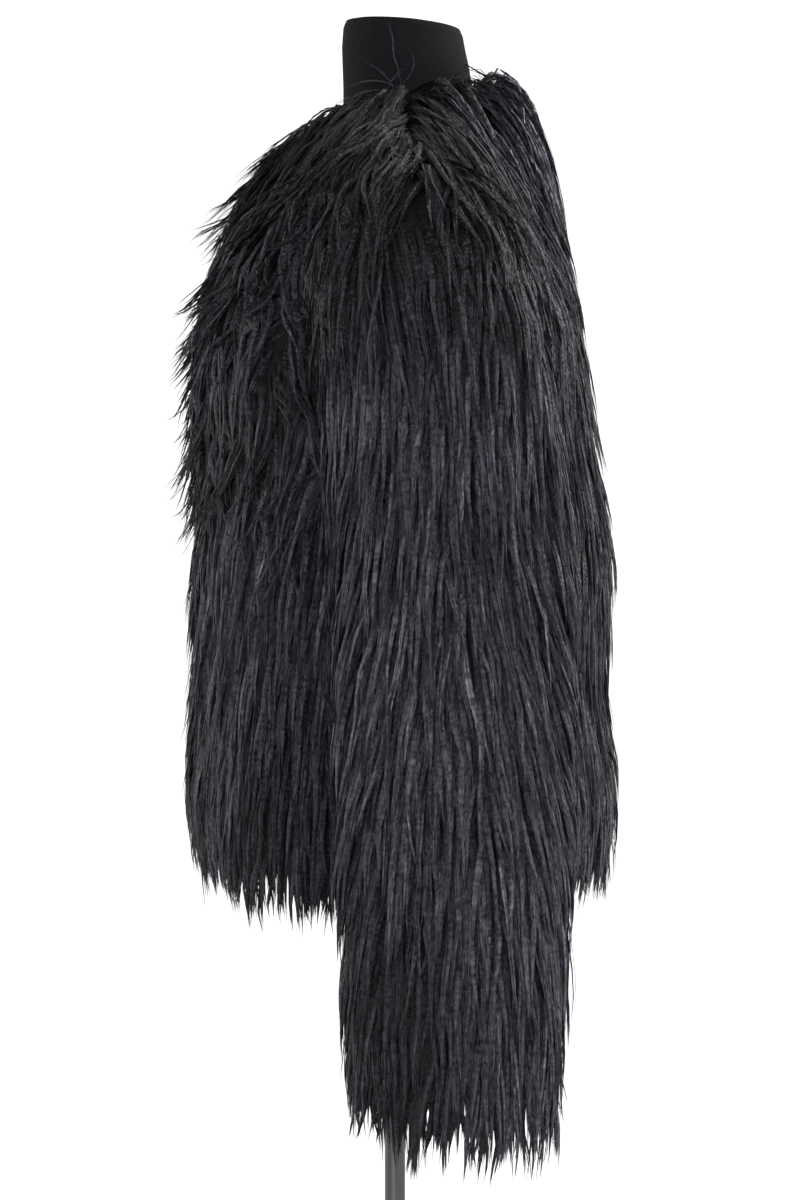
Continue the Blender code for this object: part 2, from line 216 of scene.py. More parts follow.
def side_edge(rows, reach):
    """Side seam up to the underarm, then the armhole's half superellipse in its slanted plane."""
    skirt = np.clip(rows / UNDERARM_ROW, 0, 1)
    angle = np.pi * (1 - np.clip((rows - UNDERARM_ROW) / (1 - UNDERARM_ROW), 0, 1))
    risen, swing = sleeve_section(angle)
    below = rows < UNDERARM_ROW
    height = np.where(below, blend(SIDE_HEM, UNDERARM[2], skirt),
                      blend(UNDERARM[2], SHOULDER_POINT[2], risen))
    to_underarm = UNDERARM[0] - body_size("side", UNDERARM[2])
    x = np.where(below, body_size("side", height) + to_underarm * ease(skirt),
                 blend(UNDERARM[0], SHOULDER_POINT[0], risen))
    y = UNDERARM[1] + (reach - UNDERARM[1]) * swing * ~below
    return stacked(x, y, height)


def top_edge(columns, middle):
    """The neckline's quarter ellipse, then the straight shoulder seam."""
    turn = np.clip(columns / NECK_SHARE, 0, 1) * np.pi / 2
    on_neck = stacked(NECK_SHOULDER[0] * np.sin(turn),
                      blend(NECK_SHOULDER[1], middle[1], np.cos(turn)),
                      blend(middle[2], NECK_SHOULDER[2], np.sin(turn) ** 2))
    along = np.clip((columns - NECK_SHARE) / (1 - NECK_SHARE), 0, 1)[:, None]
    on_shoulder = blend(NECK_SHOULDER, SHOULDER_POINT, along)
    return np.where((columns <= NECK_SHARE)[:, None], on_neck, on_shoulder)


def body_inward(points):
    """Unit directions into the coat: towards a core along the middle of its inside."""
    core = points * CORE_SHARE
    core[..., 2] = np.minimum(points[..., 2], CORE_TOP)
    return -unit(points - core)


def body_folds(across, rows):
    """Depth of soft folds that run up from the hem, lean a little and fade out."""
    total = 0.0
    for place, depth, width, top, lean in BODY_FOLDS:
        trough = np.exp(-((across - (place + lean * rows / top)) / width) ** 2)
        total += depth * trough * (1 - ease(rows / top))
    return total * np.sin(np.pi * across) ** 0.5


def half_panel(side_name, columns_count=48, rows_count=120):
    """The left half of the front or back on a grid, rows from the neckline down to the hem.

    Each row is an arc of a superellipse from the middle line to the side seam or armhole. Near
    the top the rows lean over to the neckline and the shoulder seam.
    """
    front = side_name == "front"
    rows = np.linspace(1, 0, rows_count + 1)
    columns = np.linspace(0, 1, columns_count + 1)
    hem, neck, way, reach = (
        (FRONT_HEM, FRONT_NECK, -1, ARMHOLE_FRONT) if front else (BACK_HEM, NAPE, 1, ARMHOLE_BACK)
    )
    height = blend(hem, neck, rows)
    middle = stacked(0.0, way * body_size(side_name, height), height)[:, None, :]
    outer = side_edge(rows, reach)[:, None, :]
    last = np.pi / 2 - ARMHOLE_TURN * rise(rows, UNDERARM_ROW, 1 - UNDERARM_ROW)[:, None]
    angle = columns[None, :] * last
    full = boxy(np.cos(last), SQUARENESS)
    sideways = boxy(np.sin(angle), SQUARENESS) / boxy(np.sin(last), SQUARENESS)
    forwards = (boxy(np.cos(angle), SQUARENESS) - full) / (1 - full)
    grid = stacked(outer[..., 0] * sideways,
                   blend(outer[..., 1], middle[..., 1], forwards),
                   blend(middle[..., 2], outer[..., 2], ease(columns)[None, :]))
    lean = top_edge(columns, middle[0, 0]) - grid[0]
    grid += lean[None] * each(rise(rows, TOP_BLEND, 1 - TOP_BLEND))
    grid += body_inward(grid) * body_folds(columns[None, :], rows[:, None])[..., None]
    grid[..., 1] += way * SEAM_GAP / 2
    return grid


def sleeve_folds(turn, along):
    """Depth of long folds that slant round the sleeve."""
    total = 0.0
    for turn_top, turn_end, top, end, depth, width in SLEEVE_FOLDS:
        share = (along - top) / (end - top)
        distance = (turn - blend(turn_top, turn_end, share) + 0.5) % 1.0 - 0.5
        fade = ease(share * FOLD_FADE) * ease((1 - share) * FOLD_FADE)
        total += depth * np.exp(-((distance / width) ** 2)) * fade
    return total


def sleeve_inward(grid):
    """Unit directions into the sleeve, in each section's own plane."""
    away = grid - grid[:, :-1].mean(axis=1, keepdims=True)
    away[..., 1] *= 1 - SLEEVE_CORE
    return -unit(away)


def sleeve_grid(columns_count=72, rows_count=120):
    """The left sleeve on a grid, rows from the armhole to the cuff, columns once round it.

    Each section is a superellipse between the outer and the inner side. A turn of 0 is the
    outer side, and the turn runs forwards. The last column repeats the first.
    """
    along = np.linspace(0, 1, rows_count + 1)
    knots = np.linspace(0, 1, len(SLEEVE_SECTIONS["outer_x"]))
    size = {name: smooth_through(knots, values, along)[:, None]
            for name, values in SLEEVE_SECTIONS.items()}
    turn = np.linspace(0, 1, columns_count + 1)
    angle = 2 * np.pi * turn[None, :]
    risen, swing = sleeve_section(angle)
    middle_y = (size["front_y"] + size["back_y"]) / 2
    seam_y = blend(UNDERARM[1], middle_y, ease(along / SEAM_TURN)[:, None])
    reach = np.where(np.sin(angle) > 0, size["front_y"], size["back_y"])
    grid = stacked(blend(size["inner_x"], size["outer_x"], risen),
                   blend(seam_y, reach, swing),
                   blend(size["inner_z"], size["outer_z"], risen))
    grid += sleeve_inward(grid) * sleeve_folds(turn[None, :], along[:, None])[..., None]
    grid[..., 0] += SEAM_GAP
    return grid


class Surface:
    """A grid over one half panel or one sleeve, read at any place across and down it.

    Beyond the hem or the outer edge it runs straight on. Across the middle line a half panel
    goes on as its mirror image, and round a sleeve the grid closes.
    """

    def __init__(self, grid, inward, tube):
        self.grid = grid
        self.outward = -inward
        self.tube = tube
        self.drop = np.linalg.norm(np.diff(grid, axis=0), axis=-1).sum(axis=0).mean()

    def read(self, across, down):
        side = np.where(across < 0, -1.0, 1.0) if not self.tube else 1.0
        across = across % 1.0 if self.tube else np.abs(across)
        rows, columns = self.grid.shape[0] - 1, self.grid.shape[1] - 1
        column = np.clip(np.floor(across * columns), 0, columns - 1).astype(int)
        row = np.clip(np.floor(down * rows), 0, rows - 1).astype(int)
        f = (across * columns - column)[..., None]
        g = (down * rows - row)[..., None]

        def between(grid, f, g):
            top, low = (blend(grid[r, column], grid[r, column + 1], f) for r in (row, row + 1))
            return blend(top, low, g)

        place = between(self.grid, f, g)
        out = unit(between(self.outward, np.clip(f, 0, 1), np.clip(g, 0, 1)))
        place[..., 0] *= side
        out[..., 0] *= side
        return place, out

    def slopes(self, across, down, reach=0.01):
        """How the place moves for a step across and for a step down."""
        steps = ((reach, 0), (-reach, 0), (0, reach), (0, -reach))
        right, left, low, high = (self.read(across + a, down + d)[0] for a, d in steps)
        return (right - left) / (2 * reach), (low - high) / (2 * reach)

    def spread(self, count, end, rng):
        """Evenly spread places: a low-discrepancy sequence through the grid's summed area."""
        rows, columns = self.grid.shape[0] - 1, self.grid.shape[1] - 1
        across = self.grid[:-1, 1:] - self.grid[:-1, :-1]
        down = self.grid[1:, :-1] - self.grid[:-1, :-1]
        area = np.linalg.norm(np.cross(across, down), axis=-1)
        used = area[: int(round(rows * end))]
        by_row = np.concatenate([[0], np.cumsum(used.sum(axis=1))])
        n = np.arange(count) + rng.random()
        first = (n * SPREAD_STEPS[0]) % 1.0 * by_row[-1]
        second = (n * SPREAD_STEPS[1]) % 1.0
        row = np.clip(np.searchsorted(by_row, first, side="right") - 1, 0, len(used) - 1)
        part = (first - by_row[row]) / (by_row[row + 1] - by_row[row])
        by_column = np.cumsum(used[row], axis=1)
        goal = second * by_column[:, -1]
        column = (by_column < goal[:, None]).sum(axis=1)
        before = np.where(column > 0, by_column[np.arange(count), column - 1], 0.0)
        inside = (goal - before) / used[row, column]
        return (column + inside) / columns, (row + part) / rows


# ---- meshes
def add_object(name, data):
    added = bpy.data.objects.new(name, data)
    bpy.context.scene.collection.objects.link(added)
    return added


def new_piece(name, mesh, look):
    mesh.materials.append(look)
    piece = add_object(name, mesh)
    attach(piece, "root")
    return piece


def fill_mesh(name, points, faces, uv=None):
    """A mesh from arrays: faces is a list of index arrays, one for each number of corners."""
    mesh = bpy.data.meshes.new(name)
    corners = np.concatenate([f.ravel() for f in faces])
    sizes = np.concatenate([np.full(len(f), f.shape[1]) for f in faces])
    starts = np.concatenate([[0], np.cumsum(sizes)[:-1]])
    mesh.vertices.add(len(points))
    mesh.loops.add(len(corners))
    mesh.polygons.add(len(sizes))
    for part, key, values, kind in (
        (mesh.vertices, "co", points.ravel(), np.float32),
        (mesh.loops, "vertex_index", corners, np.int32),
        (mesh.polygons, "loop_start", starts, np.int32),
        (mesh.polygons, "loop_total", sizes, np.int32),
        (mesh.polygons, "use_smooth", np.ones(len(sizes)), bool),
    ):
        part.foreach_set(key, values.astype(kind))
    if uv is not None:
        layer = mesh.uv_layers.new(name=UV_NAME)
        layer.uv.foreach_set("vector", uv[corners].astype(np.float32).ravel())
    mesh.update(calc_edges=True)
    mesh.validate()
    return mesh


def grid_faces(rows, columns, closed):
    """Quads over a grid of points, row by row. A closed grid joins its last column to its first."""
    row, column = np.meshgrid(np.arange(rows - 1), np.arange(columns - (not closed)), indexing="ij")
    following = (column + 1) % columns
    here, below = row * columns, (row + 1) * columns
    quads = stacked(here + column, here + following, below + following, below + column)
    return quads.reshape(-1, 4)


def shell(name, outer, inner, look, closed, turned):
    """A thin closed wall between two grids, with its rims. Turned swaps inside and outside."""
    rows, columns = outer.shape[:2]
    count = rows * columns
    skin = grid_faces(rows, columns, closed)
    number = np.arange(count).reshape(rows, columns)
    if closed:
        rims = [np.append(number[0], number[0, 0]), np.append(number[-1], number[-1, 0])[::-1]]
    else:
        rims = [np.concatenate([number[0], number[1:, -1], number[-1, -2::-1], number[-2::-1, 0]])]
    sides = [stacked(rim[1:], rim[:-1], count + rim[:-1], count + rim[1:]) for rim in rims]
    faces = np.concatenate([skin, count + skin[:, ::-1], *sides])
    if turned:
        faces = faces[:, ::-1]
    points = np.concatenate([outer.reshape(-1, 3), inner.reshape(-1, 3)])
    return new_piece(name, fill_mesh(name, points, [faces]), look)


# ---- shader expressions
class Wire:
    """An output in a material's tree. Maths on it adds Math nodes."""

    def __init__(self, paint, socket):
        self.paint = paint
        self.socket = socket

    def maths(self, operation, *terms):
        return self.paint.add("Math", dict(enumerate(terms)), operation=operation)

    def __add__(self, other):
        return self.maths("ADD", self, other)

    __radd__ = __add__

    def __mul__(self, other):
        return self.maths("MULTIPLY", self, other)

    __rmul__ = __mul__

    def __sub__(self, other):
        return self.maths("SUBTRACT", self, other)

    def __rsub__(self, other):
        return self.maths("SUBTRACT", other, self)

    def sine(self):
        return self.maths("SINE", self)

    def floor(self):
        return self.maths("FLOOR", self)

    def fraction(self):
        return self.maths("FRACT", self)


class Paint:
    """A material being made, with its Principled shader."""

    def __init__(self, name, **constants):
        self.material = bpy.data.materials.new(name)
        self.material.use_nodes = True
        self.tree = self.material.node_tree
        self.shader = self.tree.nodes["Principled BSDF"]
        for socket, value in constants.items():
            self.shader.inputs[socket.replace("_", " ")].default_value = value

    def feed(self, socket, value):
        if isinstance(value, Wire):
            self.tree.links.new(value.socket, socket)
        else:
            socket.default_value = value

    def add(self, kind, inputs=(), output=0, **settings):
        """Adds a node with its settings, feeds its inputs and gives one of its outputs."""
        node = self.tree.nodes.new("ShaderNode" + kind)
        for key, value in settings.items():
            setattr(node, key, value)
        for key, value in dict(inputs).items():
            self.feed(node.inputs[key], value)
        return Wire(self, node.outputs[output])

    def ramp(self, value, stops):
        """A number looked up in a row of (place, colour) stops."""
        colour = self.add("ValToRGB", {0: value})
        elements = colour.socket.node.color_ramp.elements
        while len(elements) < len(stops):
            elements.new(1.0)
        for element, (place, stop) in zip(elements, stops):
            element.position = place
            element.color = (*stop, 1.0)
        return colour

    def mix(self, share, a, b, mode="MIX"):
        """Two colours, mixed by a share."""
        return self.add("Mix", {0: share, 6: a, 7: b}, 2, data_type="RGBA", blend_type=mode)

    def grey(self, value):
        """A number as a grey colour."""
        return self.add("CombineXYZ", {0: value, 1: value, 2: value})

    def places(self):
        """The piece's own metres."""
        return self.add("TexCoord", output="Object")

    def split(self, vector):
        node = self.add("SeparateXYZ", {0: vector}).socket.node
        return [Wire(self, output) for output in node.outputs]

    def noise(self, vector, scale, detail):
        return self.add("TexNoise", {"Vector": vector, "Scale": scale, "Detail": detail})

    def finish(self, colour, height, depth):
        """Gives the shader its colour and a bump of some depth in metres."""
        self.feed(self.shader.inputs["Base Color"], colour)
        self.feed(self.shader.inputs["Normal"],
                  self.add("Bump", {"Height": height, "Distance": depth}))
        return self.material


# ---- finishes
def fur_look():
    """Crimped acrylic locks. Their map runs over steps of tone in U and from root to tip in V."""
    paint = Paint("faux_fur", Roughness=0.5, Specular_IOR_Level=0.3)
    u, along, _ = paint.split(paint.add("UVMap", uv_map=UV_NAME))
    step = (u * TONES).floor()
    strip = u * (TONES * PHASES)
    inside, phase = strip.fraction(), strip.floor()

    def lines(lengthwise, apart, across):
        """Noise over the lock's length and width, other on each phase's strip."""
        spot = {0: along * lengthwise, 1: phase * apart + inside * across}
        return paint.noise(paint.add("CombineXYZ", spot), 1.0, 1.0)

    crimp = lines(CRIMPS, 3.7, 1.1)
    fibres = lines(5.0, 9.1, FIBRES)
    glints = (along * GLINTS + step * 2.4 + phase * 1.3).sine()
    tone = paint.ramp(step * (1 / (TONES - 1)), FUR_TONES)
    # the grey along each lock paints shade at the roots, deep in the pile; the tips fade a little
    colour = paint.mix(1.0, tone, paint.ramp(along, ROOT_SHADE_TO_TIP), "MULTIPLY")
    # crimps and glints paint highlights and darker stretches on the locks; the fibres are their own
    # fine lines
    shade = ((crimp - 0.5) * CRIMP_HIGHLIGHT + (fibres - 0.5) * FIBRE_CONTRAST
             + glints * GLINT_CONTRAST + 1.0)
    colour = paint.mix(1.0, colour, paint.grey(shade), "MULTIPLY")
    return paint.finish(colour, crimp + fibres * FIBRE_BUMP, CRIMP_DEPTH)


FUR_TONES = (
    (0.0, (0.0057, 0.0052, 0.0079)),
    (0.3, (0.0168, 0.0154, 0.0225)),
    (0.6, (0.0355, 0.0327, 0.0452)),
    (0.85, (0.062, 0.0572, 0.0745)),
    (1.0, (0.118, 0.109, 0.136)),
)
# Grey along a lock: painted shade at the root, fading a little at the tip.
ROOT_SHADE_TO_TIP = [(place, (grey, grey, grey))
               for place, grey in ((0.0, 0.25), (0.35, 0.85), (0.75, 1.05), (1.0, 0.75))]
CRIMPS, CRIMP_HIGHLIGHT, CRIMP_DEPTH = 26.0, 4.0, 0.0042  # crimps from root to tip; their contrast paints highlights on the crests
FIBRES, FIBRE_CONTRAST, FIBRE_BUMP = 12.0, 2.4, 0.12  # fine lines of fibre across a lock
GLINTS, GLINT_CONTRAST = 30.0, 0.38  # painted glints: lighter and darker stretches, radians from root to tip


def knit_look(name, ribs, loops, lean, cloud, colours, relief, depth, **constants):
    """Knitted cloth: fine ribs down it, loops across them, and a soft cloud of two colours.

    Ribs and loops are in radians a metre, and the loops lean with the ribs. The relief is the
    ribs' and the loops' share in the bump.
    """
    paint = Paint(name, **constants)
    places = paint.places()
    x, y, z = paint.split(places)
    rib = ((x + y) * ribs).sine()
    loop = (z * loops + rib * lean).sine()
    colour = paint.mix(paint.noise(places, *cloud), *((*colour, 1) for colour in colours))
    return paint.finish(colour, rib * relief[0] + loop * relief[1], depth)


def backing_look():
    """Charcoal warp-knitted backing."""
    return knit_look("knitted_backing", 2600.0, 2100.0, 0.8, (40.0, 3.0),
                     ((0.005, 0.0047, 0.006), (0.011, 0.0104, 0.0125)), (0.6, 0.4), 0.0004,
                     Roughness=0.9, Specular_IOR_Level=0.08)


def jersey_look():
    """Matt black jersey."""
    return knit_look("black_jersey", 6200.0, 5200.0, 1.0, (60.0, 4.0),
                     ((0.0022, 0.0021, 0.0028), (0.0066, 0.0063, 0.0078)), (0.5, 0.5), 0.00008,
                     Roughness=0.95, Specular_IOR_Level=0.12)


def steel_look():
    """Satin steel, brushed lengthwise, with faint smudges."""
    paint = Paint("satin_steel", Metallic=1.0)
    places = paint.places()
    stretched = paint.add("Mapping", {"Vector": places, "Scale": (900.0, 900.0, 12.0)})
    brushed = paint.noise(stretched, 1.0, 2.0)
    smudge = paint.noise(places, 18.0, 3.0)
    colour = paint.mix(brushed, (0.036, 0.036, 0.039, 1), (0.086, 0.086, 0.090, 1))
    paint.feed(paint.shader.inputs["Roughness"], smudge * 0.15 + brushed * 0.1 + 0.28)
    return paint.finish(colour, brushed, 0.0001)


# ---- the pile
def wander(places, rng, pitch, waves=5):
    """A smooth, uneven field over space: a sum of sine waves in drawn directions."""
    total = 0.0
    for _ in range(waves):
        way = rng.normal(size=3)
        way /= np.linalg.norm(way)
        total += np.sin(places @ way * 2 * np.pi / (pitch * rng.uniform(0.7, 1.5))
                        + rng.uniform(0, 2 * np.pi))
    return total / waves ** 0.5


def comb(surface, across, down, length, swing, whorl, bend):
    """Paths over a surface in equal steps: down under gravity, and away from the neck.

    The whorl is how strongly a path runs away from the neck, high on the coat. The swing
    then turns it towards the back. The bend turns the tip further that way, and the root back.
    """
    places, outs = [], []
    step = (length / (LOCK_STATIONS - 1))[:, None]
    for turn in np.linspace(-0.5, 0.5, LOCK_STATIONS):
        place, out = surface.read(across, down)
        places.append(place)
        outs.append(out)
        over, along = surface.slopes(across, down)
        normal = unit(np.cross(over, along))
        normal *= np.sign(dot(normal, out))
        fall = np.array([0.0, 0.0, -1.0]) + normal * normal[:, 2:3]
        away = place - WHORL_MIDDLE
        away = unit(away - normal * dot(away, normal))
        share = (whorl * rise(place[:, 2], WHORL_END, WHORL_FULL - WHORL_END))[:, None]
        way = unit(fall + DOWN_CLOTH * (1 - share) * unit(along) + AWAY_FROM_NECK * share * away)
        angle = (swing + bend * turn)[:, None]
        way = way * np.cos(angle) + np.cross(normal, way) * np.sin(angle)
        move = way * step
        oo, aa, oa, mo, ma = (dot(p, q)[:, 0] for p, q in (
            (over, over), (along, along), (over, along), (move, over), (move, along)))
        scale = np.maximum(oo * aa - oa * oa, 1e-12)
        across = across + (mo * aa - ma * oa) / scale
        down = down + (ma * oo - mo * oa) / scale
    return np.stack(places, 1), np.stack(outs, 1)


def nearest(points, centres, chunk=2000):
    """Each point's nearest centre."""
    found = [np.argmin(((points[i:i + chunk, None] - centres[None]) ** 2).sum(-1), axis=1)
             for i in range(0, len(points), chunk)]
    return np.concatenate(found)


def make_pile(surface, cords, seed, style, end=CLOTH_END):
    """Pile on a surface, as cords of a few fine locks that lie side by side and share a crimp.

    A cord runs over the surface, rises from the backing, and is drawn towards its tuft's own
    path, more and more to the tip. A tuft is a group of some seven cords. The style sets the
    groom by each tuft's place. The pile grows on the surface down to the end.
    """
    rng = np.random.default_rng(seed)
    tufts = cords // CORDS_IN_TUFT
    tuft_across, tuft_down = surface.spread(tufts, end, rng)
    tuft_root, _ = surface.read(tuft_across, tuft_down)
    groom = plain_groom(tuft_root, tuft_down)
    style(groom, *tuft_root.T, tuft_down)
    tuft_swing = (wander(tuft_root, rng, WANDER_PITCH) * WANDER_SWING
                  + rng.normal(0, SWING_SPREAD, tufts) * groom.messy + groom.swing)
    tuft_bend = rng.normal(0, 1, tufts) * groom.bend
    tuft_hang = blend(*HANG, rng.random(tufts) ** 1.5) + groom.hang
    tuft_length = rng.uniform(*LENGTH, tufts) * groom.length
    tuft_stray = (rng.random(tufts) < groom.stray) * rng.uniform(0.3, 1.0, tufts)
    room = surface.drop * (1 - tuft_down) + tuft_hang
    tuft_path, _ = comb(surface, tuft_across, tuft_down, np.minimum(tuft_length, room),
                        tuft_swing, groom.whorl, tuft_bend)

    across, down = surface.spread(cords, end, rng)
    root, _ = surface.read(across, down)
    group = nearest(root, tuft_root)
    groom = SimpleNamespace(**{key: value[group] for key, value in vars(groom).items()})
    swing = tuft_swing[group] + rng.normal(0, SWING_SPREAD, cords)
    length = tuft_length[group] * rng.uniform(0.8, 1.1, cords)
    below = surface.drop * (1 - down)
    room = below + tuft_hang[group] * rng.uniform(0.4, 1.15, cords)
    path, out = comb(surface, across, down, np.minimum(length, room), swing, groom.whorl,
                     tuft_bend[group] + rng.normal(0, BEND_SPREAD, cords))

    t = np.linspace(0, 1, LOCK_STATIONS)[None, :, None]
    pull = np.minimum(rng.uniform(*CLUMP, cords) * groom.clump, CLUMP_MOST)
    pull = each(pull) * ease(t) ** 1.2
    offset = tuft_path[group] - path
    offset -= out * dot(offset, out)
    path = path + offset * pull

    layer = rng.random(cords)  # 0 lies deepest, 1 on top
    top = blend(*PILE_TOP, layer) + rng.normal(0, TUFT_TOP_SPREAD, tufts)[group] + groom.height
    stray = tuft_stray[group] * rng.uniform(0.6, 1.0, cords)
    stray = np.maximum(stray, (rng.random(cords) < STRAY_CORDS) * rng.uniform(0.2, 1.0, cords))
    foot = (WALL - BACKING) * (groom.root * rng.uniform(0.7, 1.0, cords) - 1)
    lifted = each(top - foot) * (1 - (1 - t) ** 2.4)
    arch = groom.arch * rng.uniform(0.3, 1.0, cords) + groom.puff * layer
    arch = each(arch) * np.sin(np.pi * t ** 0.7)
    tip = each(groom.lift * stray) * t ** 2
    path = path + out * (each(foot) + lifted + arch + tip)
    side = unit(np.cross(np.gradient(path, axis=1), out))
    hanging = np.clip(1 + (LOOSE_REACH - (below + HANG[1])) / LOOSE_FADE, 0, 1)
    loose = 1 + MESSY_WAVE * (groom.messy - 1) + LOOSE_WAVE * np.maximum(stray, hanging)
    wave = each(rng.uniform(*CORD_WAVE, cords) * loose) * ease(t * 2)
    bends = t * each(rng.uniform(*CORD_BENDS, cords)) + each(rng.uniform(0, 6.3, cords))
    path = path + side * wave * np.sin(bends) + out * wave * 0.6 * np.sin(bends * 0.8 + 2)
    crest = each(groom.crest * rng.random(cords) ** 0.5)
    to_neck = unit((NECK_AXIS - root) * (1, 1, 0)) * NECK_LEAN + (0, 0, 1)
    path = path + crest * np.sin(np.pi * t ** 0.45) * to_neck[:, None]
    path[..., 2] -= (groom.droop * groom.lift * stray)[:, None] * t[..., 0] ** 3

    # painted shade: cords lying deeper in the pile are darker
    tone = LAYER_SHADE * rise(layer, 0.25, 0.75) + rng.normal(0, TONE_SPREAD, cords)
    tone = tone + rng.normal(0, TUFT_TONE_SPREAD, tufts)[group] + groom.tone + BASE_TONE
    return make_locks(path, out, side, rng, tone, 1 - 0.5 * stray)


def make_locks(path, out, side, rng, tone, fullness):
    """The fine locks of each cord: its path, shifted sideways, up and a little lengthwise."""
    cords, stations = path.shape[:2]
    cord = np.repeat(np.arange(cords), LOCKS_IN_CORD)
    count = len(cord)
    t = np.linspace(0, 1, stations)
    start, end = (rng.uniform(*share, count)[:, None] for share in (LOCK_START, LOCK_END))
    at = np.clip(blend(start, end, t), 0, 1)
    spot = at * (stations - 1)
    low = np.minimum(spot.astype(int), stations - 2)
    share = (spot - low)[..., None]
    pick = cord[:, None]
    path, out, side = (blend(a[pick, low], a[pick, low + 1], share) for a in (path, out, side))

    place = np.tile(np.linspace(-1, 1, LOCKS_IN_CORD), cords) + rng.normal(0, 0.3, count)
    spread = rng.uniform(*CORD_SPREAD, cords)[cord] * fullness[cord]
    narrowing = (1 - 0.7 * at ** 1.6)[..., None]
    path = path + side * each(place * spread) * narrowing
    crown = (1 - place ** 2) * 0.5 + rng.normal(0, 0.25, count)
    path = path + out * each(crown * spread) * narrowing
    width = rng.uniform(*LOCK_WIDTH, count) * fullness[cord]
    phase = rng.integers(0, PHASES, cords)[cord]
    fine = rng.random(count) < FINE_SHARE
    width = np.where(fine, width * FINE_WIDTH, width)
    # fine hairs painted lighter, as highlights
    # painted shade by depth: locks raised on the cord's crown are a little lighter
    tone = tone[cord] + rng.normal(0, TONE_SPREAD, count) + 0.05 * crown + FINE_HIGHLIGHT * fine
    path = path + out * each(fine * FINE_RISE)
    return strips(path, out, rng, tone, width, phase, at)


def strips(path, out, rng, tone, width, phase, along_cord):
    """Flat strips along paths, turned a little about their length, narrowing to a point."""
    count, stations = path.shape[:2]
    t = np.linspace(0, 1, stations)[None, :, None]
    along = unit(np.gradient(path, axis=1))
    side = unit(np.cross(along, out))
    over = np.cross(side, along)
    twist = each(rng.normal(0, TWIST, count)) + each(rng.normal(0, TIP_TWIST, count)) * t
    side = side * np.cos(twist) + over * np.sin(twist)
    half = each(width) * 0.5 * (0.55 + 0.45 * ease(t * 3)) * (1 - t ** 3)
    body = np.stack([path - side * half, path + side * half], axis=2)[:, :-1].reshape(count, -1, 3)
    points = np.concatenate([body, path[:, -1:]], axis=1)
    per = points.shape[1]

    step = np.clip(np.round(tone * (TONES - 1)), 0, TONES - 1).astype(int)
    strip = step * PHASES + phase
    u = (strip[:, None] + np.tile([0.1, 0.9], stations - 1)[None]) / (TONES * PHASES)
    v = np.repeat(along_cord[:, :-1], 2, axis=1)
    tip = stacked((strip + 0.5) / (TONES * PHASES), along_cord[:, -1])[:, None]
    uv = np.concatenate([stacked(u, v), tip], axis=1)

    quads = np.arange(stations - 2)[:, None] * 2 + (0, 1, 3, 2)
    end = np.array([(per - 3, per - 2, per - 1)])
    faces = [(each(np.arange(count) * per) + face).reshape(-1, face.shape[1])
             for face in (quads, end)]
    return points.reshape(-1, 3), uv.reshape(-1, 2), faces


def fur_piece(name, made, look):
    """One mesh of locks."""
    points, uv, faces = made
    piece = new_piece(name, fill_mesh(name, points, faces, uv), look)
    return piece


def joined(*made):
    """Several sets of locks as one."""
    points, uvs, faces = zip(*made)
    starts = np.cumsum([0] + [len(place) for place in points])
    quads, ends = (np.concatenate([f[kind] + start for f, start in zip(faces, starts)])
                   for kind in (0, 1))
    return np.concatenate(points), np.concatenate(uvs), [quads, ends]


def flipped(made):
    """The same locks on the other side of the middle."""
    points, uv, faces = made
    return mirror(points), uv, [f[:, ::-1] for f in faces]


# ---- groom, by place
PLAIN = {
    "swing": 0.0,  # turn of the flow towards the back
    "whorl": 1.0,  # flow away from the neck
    "messy": 1.0,  # how much tufts cross
    "clump": 1.0,  # how much a tuft's cords close up
    "bend": 0.12,  # how much tufts are bent sideways, in radians
    "length": 1.0,
    "root": 0.0,  # where cords start, from the backing (0) to the wall's face (1)
    "height": 0.0,  # of all cords, over their usual
    "lift": 0.008,  # how far stray tips stand out
    "stray": 0.04,  # share of the tufts that stray
    "droop": 0.5,  # how far stray tips sink, as a share of their lift
    "arch": 0.0,  # rise between root and tip, of all cords
    "puff": 0.0,  # the same of the top cords
    "crest": 0.0,  # the same upwards
    "hang": 0.0,  # past the panel's end
    "tone": 0.0,  # lighter or darker: random tone, and painted light and shade by place
}


def band(value, low, high, soft):
    """1 between low and high, easing to 0 over a soft border outside them."""
    return ease((value - low) / soft + 1) * ease((high - value) / soft + 1)


def plain_groom(places, down):
    """Long waves of lighter and darker pile; by the top seams the roots stand at the surface."""
    groom = SimpleNamespace(**{key: np.full(len(places), usual) for key, usual in PLAIN.items()})
    groom.tone += 0.07 * wander(places, np.random.default_rng(7), 0.11)
    groom.root = 0.95 * rise(down, 0.07, -0.05)
    return groom


def along_seam(y, z):
    """1 on the shoulder seam, easing to 0 over some 3 cm to both sides."""
    return np.exp(-(((y - 0.012) / 0.024) ** 2)) * rise(z, 1.39, 0.03)


